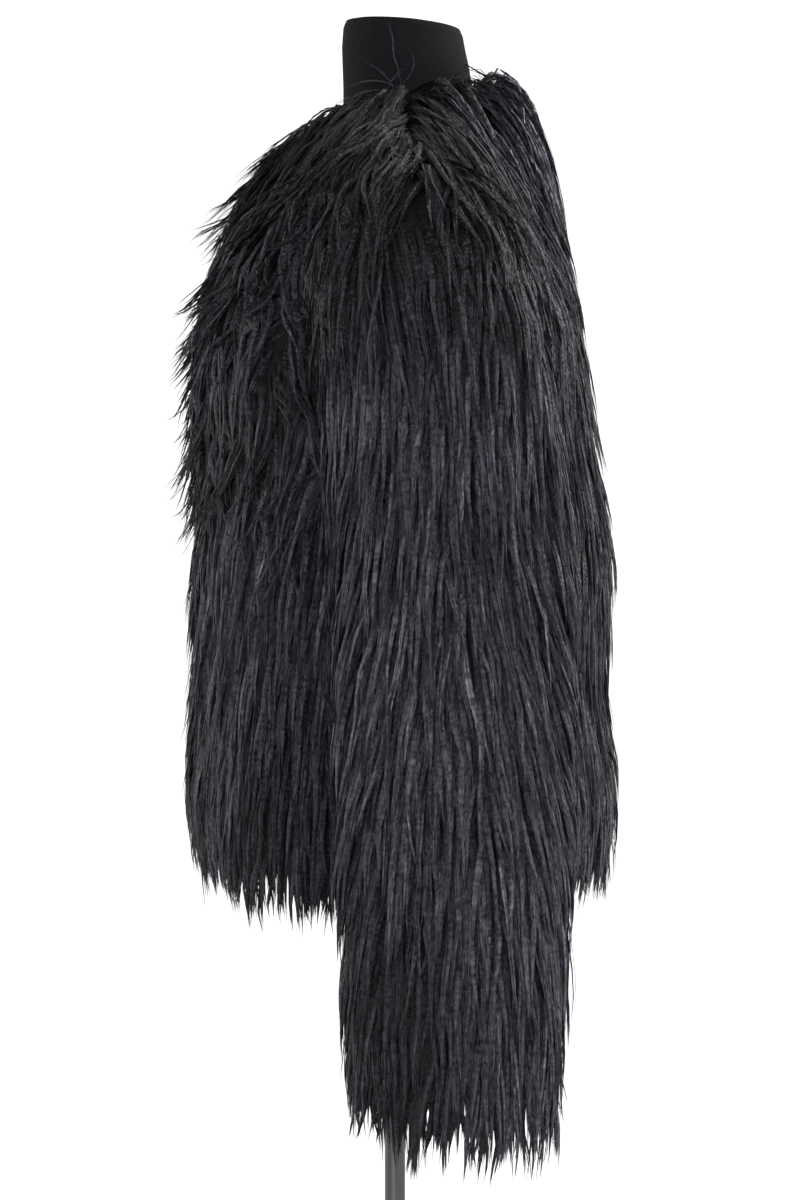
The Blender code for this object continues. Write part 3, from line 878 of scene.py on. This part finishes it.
def front_style(groom, x, y, z, down):
    """Chest tufts cross and stick out forwards; the skirt's hang straight and darker, with painted
    shade.
    """
    chest = band(z, 1.22, 1.39, 0.06)
    top = rise(z, 1.39, 0.05)
    groom.swing += 0.10 * rise(x, 0.03, -0.03)
    groom.messy += 4.0 * chest + 3.0 * top
    groom.bend += 0.7 * chest + 0.3 * top
    groom.clump += 1.3 * chest
    groom.length -= 0.25 * top + 0.15 * chest
    groom.height = -0.002 * chest - 0.001 * top
    groom.lift += 0.026 * chest + 0.010 * top
    groom.stray += 0.26 * chest + 0.16 * top
    groom.droop -= 1.2 * chest
    # painted shade: the front darker, more over the chest, most over its top and low down
    groom.tone += (-0.09 - 0.05 * chest - 0.32 * top
                   - 0.20 * rise(z, 1.08, -0.12) * rise(x, 0.02, 0.05))
    seam = along_seam(y, z)
    point = rise(x, 0.11, 0.03) * rise(z, 1.39, 0.02)
    groom.crest = (0.013 * rise(down, 0.08, -0.06) * (1 - 0.8 * rise(x, 0.06, 0.03))
                   + 0.006 * point)
    groom.swing -= 0.25 * top * rise(x, 0.06, 0.05)
    groom.messy -= 2.5 * top * seam
    groom.bend -= 0.3 * top * seam
    groom.length += 0.55 * top * seam
    groom.stray *= 1 - seam
    # painted light beside the armhole, where the sleeve shades the front; painted shade along the
    # seam and at the hem; darker at the shoulder point
    groom.tone += (0.14 * band(z, 1.06, 1.16, 0.05) * rise(x, 0.12, 0.05)
                   - 0.30 * seam - 0.24 * point - 0.10 * rise(z, 0.97, -0.05))
    groom.root *= rise(x, 0.03, 0.04)
    groom.hang = 0.014 * rise(x, 0.11, 0.05)


def back_style(groom, x, y, z, _):
    """Round the nape the locks rise, fall over backwards and are lighter, with a painted rim light.
    """
    nape = rise(z, 1.42, 0.05) * rise(y, 0.008, 0.036)
    shoulder = rise(z, 1.37, 0.05) * rise(y, 0.09, -0.04)
    seam = along_seam(y, z)
    beside_neck = rise(z, 1.44, 0.03) * band(y, 0.018, 0.060, 0.02)
    groom.messy += 3.0 * shoulder * (1 - 0.8 * seam)
    groom.bend += 0.3 * shoulder * (1 - seam)
    groom.length += 0.35 * seam
    groom.swing += 0.20 * shoulder * rise(x, 0.06, 0.05) + 0.5 * beside_neck
    groom.root *= rise(x, 0.05, 0.03)
    groom.puff = 0.008 * nape
    by_neck = rise(z, 1.45, 0.02) * band(y, 0.010, 0.036, 0.015) * rise(x, 0.10, -0.03)
    point = rise(x, 0.09, 0.04) * rise(z, 1.39, 0.02)
    groom.crest = np.maximum(0.020 * nape, 0.030 * by_neck) + 0.006 * point * shoulder
    groom.height = -0.002 * rise(z, 1.34, 0.04) * (1 - nape)
    # painted rim light on the nape and beside the neck; painted shade over the shoulder top, along
    # the seam and across the back's middle; darker at the shoulder point
    light = rise(z, 1.33, 0.12) * ease((y - 0.032 - 0.9 * (1.47 - z)) / 0.06)
    groom.tone += (0.05 - 0.40 * shoulder * (1 - light) + 0.32 * light - 0.18 * seam
                   - 0.24 * point * shoulder + 0.28 * beside_neck
                   - 0.12 * band(z, 1.18, 1.36, 0.04))


def sleeve_style(groom, _, y, z, down):
    """Locks fan out from the shoulder to both sides of the sleeve, which hangs lower behind."""
    side = np.clip((y - 0.035) / 0.09, -1, 1)
    head = rise(z, 1.32, 0.08)
    groom.whorl = 0.5 - 0.3 * side
    groom.messy += 4.0 * head
    groom.clump += 1.1 * head
    groom.bend += 0.4 * head
    groom.swing = 0.26 * side * rise(z, 1.30, -0.2) * rise(z, 0.78, 0.25)
    # painted highlight in a band over the sleeve's front half
    painted_highlight_band = np.exp(-(((side + 0.35) / 0.35) ** 2)) * band(z, 0.97, 1.20, 0.10)
    # painted light towards the back; painted shade over the sleeve head, at the cuff, along the
    # front edge beside the body and low on the front
    groom.tone += (0.07 + 0.03 * side + 0.10 * painted_highlight_band - 0.38 * rise(z, 1.26, 0.11)
                   - 0.16 * rise(z, 1.37, 0.03) - 0.10 * rise(z, 0.79, -0.04)
                   - (0.05 + 0.15 * rise(z, 1.0, -0.08)) * rise(side, -0.72, -0.28)
                   - 0.38 * rise(z, 0.99, -0.08) * rise(side, 0.3, -0.6))
    groom.height = 0.003 * rise(z, 0.95, -0.1) * rise(side, 0.4, 0.3)
    groom.root = 0.3 * rise(down, 0.07, -0.05)
    groom.hang = 0.016 - 0.030 * rise(side, -0.25, -0.6) - 0.012 * rise(side, 0.5, 0.5)


# ---- build
# Each panel laid flat: width, length and area, from the lengths of its sections
CUTS = {"front": (0.27, 0.58, 0.130), "back": (0.52, 0.60, 0.27), "sleeve": (0.42, 0.66, 0.22)}
EDGING_END = 0.07  # the top edge's extra pile grows down to here


def backing_layers(surface, step=3):
    """Outer and inner side of a panel's backing, on every third row and column of its grid."""
    last = int(round((surface.grid.shape[0] - 1) * CLOTH_END)) + 1
    rows = np.unique(np.append(np.arange(0, last, step), last - 1))
    columns = slice(0, -1 if surface.tube else None, step)
    outside = surface.grid[rows][:, columns]
    inward = -surface.outward[rows][:, columns]
    if surface.tube:  # one more row, on the body's backing round the armhole
        outside = np.concatenate([outside[:1], outside])
        inward = np.concatenate([body_inward(outside[:1]), inward])
    return [outside + inward * (WALL - BACKING), outside + inward * WALL]


def make_coat():
    fur, backing = fur_look(), backing_look()
    surfaces = {}
    for panel in ("front", "back"):
        grid = half_panel(panel)
        surfaces[panel] = Surface(grid, body_inward(grid), False)
    grid = sleeve_grid()
    surfaces["sleeve"] = Surface(grid, sleeve_inward(grid), True)

    walls = {panel: backing_layers(surface) for panel, surface in surfaces.items()}
    for grid in walls["front"]:
        grid[:, 0, 0] += SEAM_GAP / 2
    walls["back"] = [np.concatenate([grid[:, ::-1], mirror(grid)[:, 1:]], axis=1)
                     for grid in walls["back"]]

    def half(panel, cords, edging, seed, style):
        """A half panel's pile, denser along its top edge."""
        surface = surfaces[panel]
        return joined(make_pile(surface, cords, seed, style),
                      make_pile(surface, edging, seed + 50, style, end=EDGING_END))

    piles = {
        "left_front": half("front", 2380, 340, 11, front_style),
        "right_front": flipped(half("front", 2080, 340, 12, front_style)),
        "back": joined(half("back", 1220, 600, 13, back_style),
                       flipped(half("back", 1220, 600, 14, back_style))),
        "left_sleeve": half("sleeve", 3480, 180, 15, sleeve_style),
        "right_sleeve": flipped(half("sleeve", 3230, 180, 16, sleeve_style)),
    }
    for name in piles:
        panel, right = name.split("_")[-1], name.startswith("right")
        grids = [mirror(grid) if right else grid for grid in walls[panel]]
        shell("cloth_" + name, *grids, backing, closed=panel == "sleeve",
                            turned=not right)
    wisps = make_neck_wisps(fur)
    for name, made in piles.items():
        pile = [fur_piece("pile_" + name, made, fur)] + [wisps] * (name == "back")
        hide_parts(name)
        width, length, area = CUTS[name.split("_")[-1]]


def turned_faces(rows, columns):
    """Quads round a closed grid, and fans to two more points at its low and high end."""
    step = np.arange(columns)
    following = (step + 1) % columns
    last, low = (rows - 1) * columns, rows * columns
    return [grid_faces(rows, columns, True), np.concatenate([
        stacked(following, step, low), stacked(last + step, last + following, low + 1)])]


def closed_solid(name, grid, look, node):
    """A solid from rings of points, bottom to top, closed at both ends."""
    points = np.concatenate([grid.reshape(-1, 3), grid[[0, -1]].mean(axis=1)])
    piece = new_piece(name, fill_mesh(name, points, turned_faces(*grid.shape[:2])), look)
    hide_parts(node)
    return piece


NECK_TILT, TILT_START, TILT_SPAN = 0.007, 1.49, 0.04  # the neck's top is lower at the back


def form_size(heights):
    """The form's sizes at some heights, straight between the table's rows."""
    return {key: np.interp(heights, FORM_SECTIONS["height"], FORM_SECTIONS[key])
            for key in FORM_SECTIONS}


def form_reach(size, front):
    """How far the form reaches from its side line, to the front or the back."""
    return np.where(front, size["front"] + FORM_SIDE_Y, size["back"] - FORM_SIDE_Y)


def make_form():
    """The dress form: superellipse sections, finely stepped, closed below and above."""
    knots = FORM_SECTIONS["height"]
    heights = np.unique(np.concatenate([np.linspace(knots[0], knots[-1], 120), knots]))[:, None]
    size = form_size(heights)
    angle = np.linspace(0, 2 * np.pi, 96, endpoint=False)[None]
    sideways = boxy(np.cos(angle), size["squareness"])
    depth = boxy(np.sin(angle), size["squareness"])
    tilt = NECK_TILT * rise(heights, TILT_START, TILT_SPAN) * (1 + depth) / 2
    grid = stacked(size["side"] * sideways,
                   FORM_SIDE_Y + form_reach(size, depth < 0) * depth, heights - tilt)
    closed_solid("form_body", grid, jersey_look(), "dress_form")


# Loose hairs on the neck's left side, root to tip: y, z and distance from the jersey in mm
NECK_WISPS = (
    ((0.1, 1470, 4), (-4, 1480, 3), (-11, 1488, 1), (-21.6, 1496.4, 1), (-36.1, 1507.3, 2)),
    ((-2, 1470, 6), (4, 1476, 4), (10.5, 1483, 1),
     (13.8, 1491, 1), (13.1, 1498.5, 1), (9.5, 1505.8, 1)),
    ((5, 1472, 5), (3, 1486, 2), (-1, 1499, 1),
     (-1.2, 1509.4, 1), (-2.8, 1515.2, 1), (-5, 1522.5, 1)),
    ((4, 1470, 8), (-14.4, 1472.8, 9), (-34.7, 1468.9, 12), (-48, 1465.3, 16)),
    ((6, 1468, 9), (-15, 1470, 10), (-33, 1463, 13), (-46, 1456, 17)),
    ((8, 1471, 6), (-6, 1478, 5), (-21, 1480, 4), (-39, 1476, 6)),
    ((-6, 1470, 5), (-3, 1479, 3), (2, 1485, 2), (8, 1488, 3)),
)


def make_neck_wisps(look):
    """Fine hairs through the listed points, standing off the neck's side."""
    rng = np.random.default_rng(40)
    t = np.linspace(0, 1, 9)
    paths = []
    for wisp in NECK_WISPS:
        y, z, off = (smooth_through(np.linspace(0, 1, len(wisp)), row, t)
                     for row in np.array(wisp).T / 1000)
        size = form_size(z)
        share = np.clip(np.abs(y - FORM_SIDE_Y) / form_reach(size, y < FORM_SIDE_Y), 0, 0.97)
        x = size["side"] * (1 - share ** size["squareness"]) ** (1 / size["squareness"]) + off
        paths.append(stacked(x, y, z))
    path = np.repeat(np.array(paths), 3, axis=0)
    count = len(path)
    path = path + rng.normal(0, 0.0012, (count, 1, 3)) * t[:, None]
    out = np.zeros_like(path) + (1.0, 0.0, 0.0)
    made = strips(path, out, rng, rng.uniform(0.5, 0.75, count), rng.uniform(0.0004, 0.0007, count),
                  rng.integers(0, PHASES, count), np.tile(t, (count, 1)))
    return fur_piece("pile_neck_wisps", joined(made, flipped(made)), look)


SHARP_TURN = np.radians(40)


def turned(name, profile, look, node, steps=96):
    """A solid turned round the Z axis from (radius, height) pairs, bottom to top."""
    radius, height = np.array(profile).T[..., None]
    angle = np.linspace(0, 2 * np.pi, steps, endpoint=False)[None]
    grid = stacked(radius * np.cos(angle), radius * np.sin(angle), height)
    piece = closed_solid(name, grid, look, node)
    piece.data.set_sharp_from_angle(angle=SHARP_TURN)


def rounded(radius, low, high, round_off, steps=6):
    """A profile of one height step with both edges rounded off by quarter circles."""
    turn = np.linspace(0, np.pi / 2, steps)
    turn = np.concatenate([turn - np.pi / 2, turn])
    middle = np.repeat([low + round_off, high - round_off], steps)
    return stacked(radius - round_off + round_off * np.cos(turn),
                   middle + round_off * np.sin(turn))


HUB_RADIUS, PLATE_TOP, HUB_FOOT = 0.020, 0.008, 0.004  # the base: a flat plate with a hub
EDGE_ROUND = 0.0015


def make_stand():
    steel = steel_look()
    low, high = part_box("base")
    hub = rounded(HUB_RADIUS, PLATE_TOP + HUB_FOOT, high[2], EDGE_ROUND)
    turned("stand_base", np.concatenate([
        rounded(high[0], low[2], PLATE_TOP, EDGE_ROUND),
        [(HUB_RADIUS + HUB_FOOT, PLATE_TOP), (HUB_RADIUS + 0.001, PLATE_TOP + 0.001),
         (HUB_RADIUS, PLATE_TOP + HUB_FOOT)],
        hub[len(hub) // 2:],
    ]), steel, "base", steps=160)
    low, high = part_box("pole")
    turned("stand_pole", rounded(high[0], low[2], high[2], 0.0004, 3), steel, "pole", steps=64)
    low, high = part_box("form_plate")
    turned("stand_plate", rounded(high[0], low[2], high[2], 0.0008), steel, "form_plate")


# ---- studio
CAMERA_PLACE = (3.0, 0.0037, 1.104)
FRAME_HEIGHT = 0.882  # height of the view at the coat's middle
DIMMED = (0.30, 0.80, 1.0, 0.35)  # from a direction's first height to the second, white to grey


def make_studio():
    scene = bpy.context.scene
    camera = add_object("camera", bpy.data.cameras.new("camera"))
    camera.location = CAMERA_PLACE
    camera.rotation_euler = (np.pi / 2, 0.0, np.pi / 2)
    camera.data.sensor_width = 36.0
    camera.data.lens = 36.0 * CAMERA_PLACE[0] / FRAME_HEIGHT
    scene.camera = camera
    scene.view_settings.view_transform = "Standard"

    world = bpy.data.worlds.new("studio")
    scene.world = world
    world.use_nodes = True
    nodes, link = world.node_tree.nodes, world.node_tree.links.new
    sky = nodes["Background"]
    sky.inputs["Strength"].default_value = 1.2
    view, split, dim = (nodes.new("ShaderNode" + kind)
                        for kind in ("TexCoord", "SeparateXYZ", "MapRange"))
    for number, value in enumerate(DIMMED, 1):
        dim.inputs[number].default_value = value
    link(view.outputs["Generated"], split.inputs[0])
    link(split.outputs[2], dim.inputs[0])
    link(dim.outputs[0], sky.inputs["Color"])

    mesh = bpy.data.meshes.new("floor")
    mesh.from_pydata([(-40, -40, 0), (40, -40, 0), (40, 40, 0), (-40, 40, 0)], [], [(0, 1, 2, 3)])
    floor = add_object("floor", mesh)
    pale = Paint("pale_floor", Roughness=0.9, Base_Color=(0.93, 0.93, 0.93, 1.0),
                 Emission_Color=(1.0, 1.0, 1.0, 1.0), Emission_Strength=0.5)
    mesh.materials.append(pale.material)

    for name, place, aim, size, power in (
        ("key", (1.5, 2.8, 2.7), (0, 0, 1.2), 1.4, 70.0),
        ("rim", (-0.8, 2.4, 2.8), (0, 0, 1.3), 1.2, 90.0),
        ("fill", (3.6, -0.8, 1.6), (0, 0, 1.1), 2.4, 55.0),
        ("edge", (-1.2, -2.8, 1.5), (0, 0, 1.1), 1.2, 22.0),
    ):
        light = bpy.data.lights.new(name, "AREA")
        light.size = size
        light.energy = power
        lamp = add_object(name, light)
        lamp.location = place
        way = np.array(aim) - np.array(place)
        lamp.rotation_euler = (np.arctan2(np.hypot(way[0], way[1]), -way[2]), 0.0,
                               np.arctan2(-way[0], way[1]))


make_studio()
make_form()
make_stand()
make_coat()
